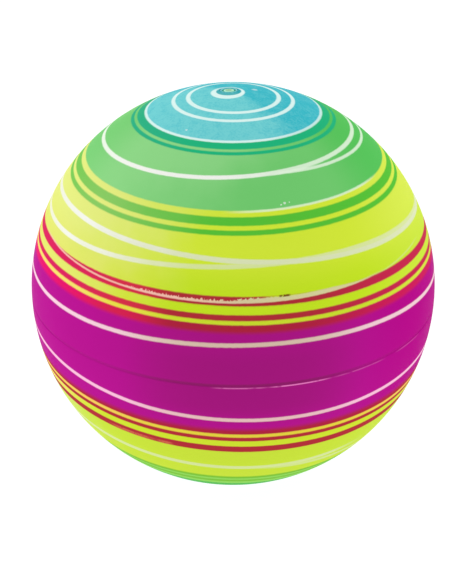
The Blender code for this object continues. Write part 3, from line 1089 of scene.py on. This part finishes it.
def tear_line(spray, shade):
    """The torn line in the upper red band: the paint tore off upwards, so its upper edge is ragged."""
    wiring = spray.wiring
    above = spray.above(TORN_LINE)
    below_top = wiring.step(spray.latitude(RED_LEAN), RED_TOP + CRISP, RED_TOP - CRISP)
    gone = wiring.times(wiring.fade(above, TORN_GONE), spray.span(TORN_OPEN), below_top)
    shade = wiring.mix(gone, shade, spray.coat("yellow"))

    ragged = spray.span(TORN_RAGGED)
    strokes = wiring.noise(spray.place, TEETH, TEETH_STRETCH)
    teeth = wiring.times(wiring.fade(strokes, TEETH_GAPS), ragged, TEETH_HEIGHT)
    wider = wiring.plus(teeth, wiring.times(ragged, RAGGED_WIDER))
    wider = wiring.plus(wider, wiring.times(spray.span(TORN_FRONT), FRONT_WIDER))
    past = wiring.minus(above, wider)
    upper = wiring.step(past, TORN_LINE.width + LINE_BLUR, TORN_LINE.width - LINE_BLUR)
    lower = wiring.step(above, -LINE_BLUR, LINE_BLUR)
    share = wiring.times(lower, upper, spray.span(TORN_LINE.span), TORN_LINE.bare)
    tint = wiring.mix(wiring.fade(spray.right, TORN_TINT), spray.paint.torn_left, spray.paint.torn)
    shade = wiring.mix(share, shade, tint)

    edge = wiring.fade(wiring.apart(above, CRUMBS_ABOVE), CRUMBS_EDGE)
    gaps = wiring.fade(wiring.noise(spray.place, CRUMBS_NOISE), CRUMBS_GAPS)
    crumbs = wiring.times(edge, spray.span(CRUMBS), gaps, CRUMBS_BARE)
    return wiring.mix(crumbs, shade, spray.paint.crumb)


def rub_foot(spray, shade):
    """The lower half of the lowest red band, rubbed thin in two places left of the front."""
    wiring = spray.wiring
    streak = wiring.fade(wiring.apart(spray.latitude(FOOT_LEAN), RUBBED_LATITUDE), RUBBED_EDGE)
    worn = wiring.fade(spray.grain, RUBBED_GRAIN)
    for span in RUBBED:
        share = wiring.times(streak, worn, spray.span(span), RUBBED_SHARE)
        shade = wiring.mix(share, shade, spray.paint.rubbed)
    return shade


def shade_and_wear_seam(spray, skin, shade):
    """Painted shade in the parting groove, and its lower edge rubbed pale in fine dashes at the front."""
    wiring = spray.wiring
    level = wiring.latitude(wiring.vector("NORMALIZE", spray.place), seam_axis(skin))
    # Painted shade along the groove, strongest at the front
    inside = wiring.fade(wiring.apart(level, GROOVE_SHADE_LEVEL), GROOVE_SHADE_EDGE)
    front = wiring.times(wiring.fade(spray.right, GROOVE_SHADE_LEFT), wiring.fade(spray.right, GROOVE_SHADE_RIGHT))
    shaded = wiring.plus(GROOVE_SHADE_LEAST, wiring.times(front, GROOVE_SHADE_FRONT))
    shade = wiring.mix(wiring.times(inside, shaded), shade, spray.paint.groove_shade)

    rubbed = wiring.fade(wiring.apart(level, RUB_LEVEL), RUB_EDGE)
    dashes = wiring.fade(wiring.noise(spray.place, RUB_NOISE), RUB_GAPS)
    bare = 0.0
    for rub in SEAM_RUBS:
        bare = wiring.math("MAXIMUM", bare, wiring.times(spray.span(rub.span), rub.bare))
    return wiring.mix(wiring.times(rubbed, dashes, bare), shade, spray.paint.seam_rub)


def chip_specks(spray, shade):
    """Small chips in the paint."""
    wiring = spray.wiring
    broken = wiring.wander(spray.place, CHIP_NOISE)
    for speck in SPECKS:
        near = wiring.dot(spray.spot, place_on_ball(speck.latitude, speck.longitude))
        apart = wiring.times(wiring.math("ARCCOSINE", near), math.degrees(1))
        mask = wiring.step(wiring.plus(apart, broken), speck.radius, speck.radius * CHIP_CORE)
        shade = wiring.mix(wiring.times(mask, speck.bare), shade, spray.paint.vinyl)
    return shade


def painted_vinyl(skin, paint):
    """White vinyl with sprayed bands, bare lines, a worn seam and chips, and no paint inside. Painted shade
    darkens the seam's groove, the waist's front, the far left and the round about the valve.
    """
    material, wiring, shader = new_material("painted_vinyl")
    spray = Spray(wiring, skin, paint)
    shade = spray_bands(spray)
    shade = tear_line(spray, shade)
    shade = rub_foot(spray, shade)
    shade = leave_lines(spray, shade)
    shade = ring_valve(spray, shade)
    shade = shade_and_wear_seam(spray, skin, shade)
    shade = chip_specks(spray, shade)
    inner = skin.radius - skin.wall
    outside = wiring.step(wiring.reach(spray.place), inner, skin.radius - skin.wall * PAINT_DEPTH)
    shade = wiring.mix(outside, paint.vinyl, shade)
    dress(wiring, shader, spray.place, SKIN_FINISH, shade, wiring.wander(spray.place, SKIN_SHINE))
    return material


def painted_seat(valve, paint):
    """Overspray on the lip, paint run into the pocket and painted lighter against its shade, and bare vinyl
    below.
    """
    material, wiring, shader = new_material("painted_seat")
    place = wiring.place()
    below = wiring.minus(LIP_HEIGHT, wiring.dot(place, UP))
    clouds = wiring.noise(place, SEAT_CLOUDS)
    shade = wiring.mix(wiring.fade(clouds, SEAT_CLOUDY), paint.turquoise_thin, paint.turquoise)
    shade = wiring.mix(wiring.fade(below, POCKET_LIT_PAINT), shade, paint.pocket)
    depth = valve.pocket_depth
    bare = wiring.step(below, depth + PAINT_END.start, depth + PAINT_END.whole)
    shade = wiring.mix(bare, shade, paint.vinyl)
    dress(wiring, shader, place, SEAT_FINISH, shade, wiring.spread(clouds, SEAT_CLOUDS.amount))
    return material


def plug_plastic(valve, paint):
    """Soft pale green plastic, lighter on the rim of the head, partly as a painted highlight, with a cloudy
    mould finish.
    """
    material, wiring, shader = new_material("plug_plastic")
    place = wiring.place()
    clouds = wiring.noise(place, PLUG_CLOUDS)
    wide = wiring.reach(wiring.vector("MULTIPLY", place, LEVEL))
    wide = wiring.plus(wide, wiring.spread(clouds, RIM_WANDER))
    shade = wiring.mix(wiring.step(wide, RIM_HIGHLIGHT_START, valve.head_radius), paint.plug, paint.plug_rim_highlight)
    dress(wiring, shader, place, PLUG_FINISH, shade, wiring.spread(clouds, PLUG_CLOUDS.amount))
    return material


def pale_floor(glow):
    """Plain white studio floor, lit a little from below, with the faintest cloudiness."""
    material, wiring, shader = new_material("pale_floor")
    clouds = wiring.noise(wiring.place(), FLOOR_CLOUDS)
    wiring.feed(shader.inputs["Base Color"], wiring.mix(clouds, *FLOOR_SHADES))
    wiring.feed(shader.inputs["Roughness"], FLOOR_ROUGHNESS)
    wiring.feed(shader.inputs["Specular IOR Level"], FLOOR_SPECULAR)
    wiring.feed(shader.inputs["Emission Color"], WHITE)
    wiring.feed(shader.inputs["Emission Strength"], glow)
    return material


class BALL_OT_make_skin(Operator):
    """Make the painted skin with its parting groove and valve hole"""

    bl_idname = "play_ball.make_skin"
    bl_label = "Make Painted Skin"

    def execute(self, context):
        skin = context.scene.ball_skin
        bm = skin_mesh(skin, context.scene.ball_valve)
        lean_seam(bm, skin)
        paint_map(bm, skin)
        finish = painted_vinyl(skin, context.scene.ball_paint)
        finish_piece(bm, "painted_skin", finish, "ball", "ball_skin")
        return {"FINISHED"}


class BALL_OT_make_seat(Operator):
    """Make the valve seat that the skin holds"""

    bl_idname = "play_ball.make_seat"
    bl_label = "Make Valve Seat"

    def execute(self, context):
        valve = context.scene.ball_valve
        finish = painted_seat(valve, context.scene.ball_paint)
        finish_piece(seat_mesh(valve), "seat_grommet", finish, "ball", "valve_seat")
        return {"FINISHED"}


class BALL_OT_make_plug(Operator):
    """Make the ringed plug that closes the valve"""

    bl_idname = "play_ball.make_plug"
    bl_label = "Make Valve Plug"

    def execute(self, context):
        valve = context.scene.ball_valve
        finish = plug_plastic(valve, context.scene.ball_paint)
        finish_piece(plug_mesh(valve), "ringed_plug", finish, "plug", "valve_plug")
        return {"FINISHED"}


class BALL_OT_make_studio(Operator):
    """Make the floor, the light and the camera"""

    bl_idname = "play_ball.make_studio"
    bl_label = "Make Studio"

    def execute(self, context):
        studio = context.scene.ball_studio
        make_floor(studio)
        make_tent(context.scene, studio)
        make_camera(context.scene, studio)
        return {"FINISHED"}


def make_floor(studio):
    """A wide plain floor under the ball."""
    bm = bmesh.new()
    bmesh.ops.create_grid(bm, x_segments=1, y_segments=1, size=FLOOR_HALF)
    bmesh.ops.translate(bm, verts=bm.verts, vec=(0.0, 0.0, -BALL_RADIUS))
    mesh = bpy.data.meshes.new("floor")
    bm.to_mesh(mesh)
    bm.free()
    mesh.materials.append(pale_floor(studio.floor_glow))
    floor = bpy.data.objects.new("floor", mesh)
    bpy.context.scene.collection.objects.link(floor)


def to_camera(studio):
    """The direction from the ball to the camera."""
    return Vector((0.0, -math.cos(studio.elevation), math.sin(studio.elevation)))


def make_tent(scene, studio):
    """Soft white light from all round, weaker on the camera's side, and a wide lamp at each side."""
    world = bpy.data.worlds.new("white_tent")
    world.use_nodes = True
    scene.world = world
    wiring = Wiring(world.node_tree)
    background = world.node_tree.nodes["Background"]
    direction = wiring.add("ShaderNodeTexCoord").outputs["Generated"]
    facing = wiring.dot(direction, to_camera(studio))
    dim = wiring.times(wiring.fade(facing, CAMERA_SIDE), 1 - studio.camera_side)
    wiring.feed(background.inputs["Color"], WHITE)
    wiring.feed(background.inputs["Strength"], wiring.times(wiring.flip(dim), studio.sky))

    make_lamp(scene, "left_lamp", LEFT_LAMP, studio.left_lamp)
    make_lamp(scene, "right_lamp", RIGHT_LAMP, studio.right_lamp)
    scene.view_settings.view_transform = "Standard"


def make_lamp(scene, name, place, power):
    """A wide round lamp that faces the ball."""
    lamp = bpy.data.lights.new(name, "AREA")
    lamp.energy = power
    lamp.shape = "DISK"
    lamp.size = LAMP_SIZE
    holder = bpy.data.objects.new(name, lamp)
    holder.location = place
    holder.rotation_euler = (-Vector(place)).to_track_quat("-Z", "Y").to_euler()
    scene.collection.objects.link(holder)


def make_camera(scene, studio):
    """A camera that sees the ball from a little above, as in a catalogue picture."""
    back = to_camera(studio)
    level = Vector((1.0, 0.0, 0.0))
    up = back.cross(level)
    right = level * math.cos(studio.roll) - up * math.sin(studio.roll)
    up = back.cross(right)
    place = back * studio.distance
    back = (place + right * studio.aim_left + up * studio.aim_down).normalized()
    right = up.cross(back).normalized()
    up = back.cross(right)

    camera = bpy.data.cameras.new("camera")
    camera.lens = studio.lens
    holder = bpy.data.objects.new("camera", camera)
    turned = Matrix((right, up, back)).transposed().to_4x4()
    holder.matrix_world = Matrix.Translation(place) @ turned
    scene.collection.objects.link(holder)
    scene.camera = holder


class BALL_PT_panel(Panel):
    """The ball's sizes, colours and makers in the sidebar"""

    bl_label = "Play Ball"
    bl_space_type = "VIEW_3D"
    bl_region_type = "UI"
    bl_category = "Play Ball"

    def draw(self, context):
        for operator in OPERATORS:
            self.layout.operator(operator.bl_idname)
        for name in GROUPS:
            box = self.layout.box()
            group = getattr(context.scene, name)
            for field in group.__annotations__:
                box.prop(group, field)


OPERATORS = (BALL_OT_make_skin, BALL_OT_make_seat, BALL_OT_make_plug, BALL_OT_make_studio)
GROUPS = {
    "ball_skin": SkinSizes,
    "ball_valve": ValveSizes,
    "ball_paint": PaintColours,
    "ball_studio": StudioSettings,
}
CLASSES = (*GROUPS.values(), *OPERATORS, BALL_PT_panel)


def register():
    for item in CLASSES:
        bpy.utils.register_class(item)
    for name, group in GROUPS.items():
        setattr(bpy.types.Scene, name, PointerProperty(type=group))


def unregister():
    for name in GROUPS:
        delattr(bpy.types.Scene, name)
    for item in reversed(CLASSES):
        bpy.utils.unregister_class(item)


def main():
    """Make the ball and its studio."""
    register()
    bpy.ops.play_ball.make_skin()
    bpy.ops.play_ball.make_seat()
    bpy.ops.play_ball.make_plug()
    bpy.ops.play_ball.make_studio()


if __name__ == "__main__":
    main()
